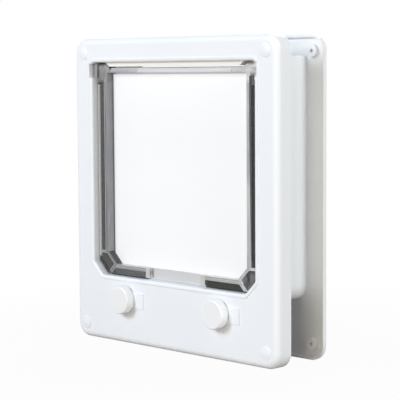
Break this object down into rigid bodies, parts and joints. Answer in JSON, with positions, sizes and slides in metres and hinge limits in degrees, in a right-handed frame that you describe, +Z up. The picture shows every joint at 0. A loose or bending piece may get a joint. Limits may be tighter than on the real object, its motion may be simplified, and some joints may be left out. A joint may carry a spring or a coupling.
{
  "type": "cat flap",
  "caption": "Four-way cat flap: two white frames that clamp a door, a clear swinging flap with a pile-sealed edge and a magnet catch, and two sliding locks.",
  "frame": {"origin": "on the ground at the middle of the width and of the whole depth, knobs included", "axes": "+X to the right seen from the room, +Y from the room to outdoors, +Z up"},
  "size_m": [0.228, 0.0656, 0.25],
  "materials": {
    "frame_white": "satin moulded",
    "knob_white": "satin moulded",
    "cover_cream": "satin moulded",
    "clear_plastic": "clear polished",
    "bearing_grey": "satin moulded",
    "pile": "short pile",
    "holder_grey": "satin moulded",
    "magnet": "sintered",
    "steel": "drawn wire"
  },
  "bodies": {
    "housing": {"front_frame": "frame_white", "back_frame": "frame_white", "screw_cap_top_left": "frame_white", "screw_cap_top_right": "frame_white", "screw_cap_bottom_left": "frame_white", "screw_cap_bottom_right": "frame_white", "sill_magnet_cover": "frame_white", "lock_retainer_left": "frame_white", "lock_retainer_right": "frame_white", "hinge_cover": "cover_cream", "hinge_bearing_left": "bearing_grey", "hinge_bearing_right": "bearing_grey", "hinge_pin_left": "steel", "hinge_pin_right": "steel", "sill_magnet": "magnet", "retainer_screw_left": "steel", "retainer_screw_right": "steel"},
    "flap": {"flap_pane": "clear_plastic", "magnet_holder": "holder_grey", "flap_magnet": "magnet", "brush_left": "pile", "brush_right": "pile", "brush_bottom_left": "pile", "brush_bottom_right": "pile", "brush_corner_left": "pile", "brush_corner_right": "pile"},
    "lock_left": {"lock_knob_left": "knob_white", "lock_slide_left": "knob_white", "knob_screw_left": "steel"},
    "bolt_left": {"lock_bolt_left": "knob_white"},
    "lock_right": {"lock_knob_right": "knob_white", "lock_slide_right": "knob_white", "knob_screw_right": "steel"},
    "bolt_right": {"lock_bolt_right": "knob_white"}
  },
  "joints": [
    {"name": "flap_swing", "type": "hinge", "parent": "housing", "child": "flap", "pos_m": [0, -0.0145, 0.222], "axis": [1, 0, 0], "range_deg": [-90, 90]},
    {"name": "lock_left_slide", "type": "slide", "parent": "housing", "child": "lock_left", "axis": [1, 0, 0], "range_m": [0, 0.009]},
    {"name": "lock_left_bolt", "type": "slide", "parent": "housing", "child": "bolt_left", "axis": [0, 0, 1], "range_m": [0, 0.0055]},
    {"name": "lock_right_slide", "type": "slide", "parent": "housing", "child": "lock_right", "axis": [1, 0, 0], "range_m": [0, 0.009]},
    {"name": "lock_right_bolt", "type": "slide", "parent": "housing", "child": "bolt_right", "axis": [0, 0, 1], "range_m": [0, 0.0055]}
  ],
  "couplings": [
    {"joint": "lock_left_bolt", "follows": "lock_left_slide", "ratio": 0.6111},
    {"joint": "lock_right_bolt", "follows": "lock_right_slide", "ratio": 0.6111}
  ]
}
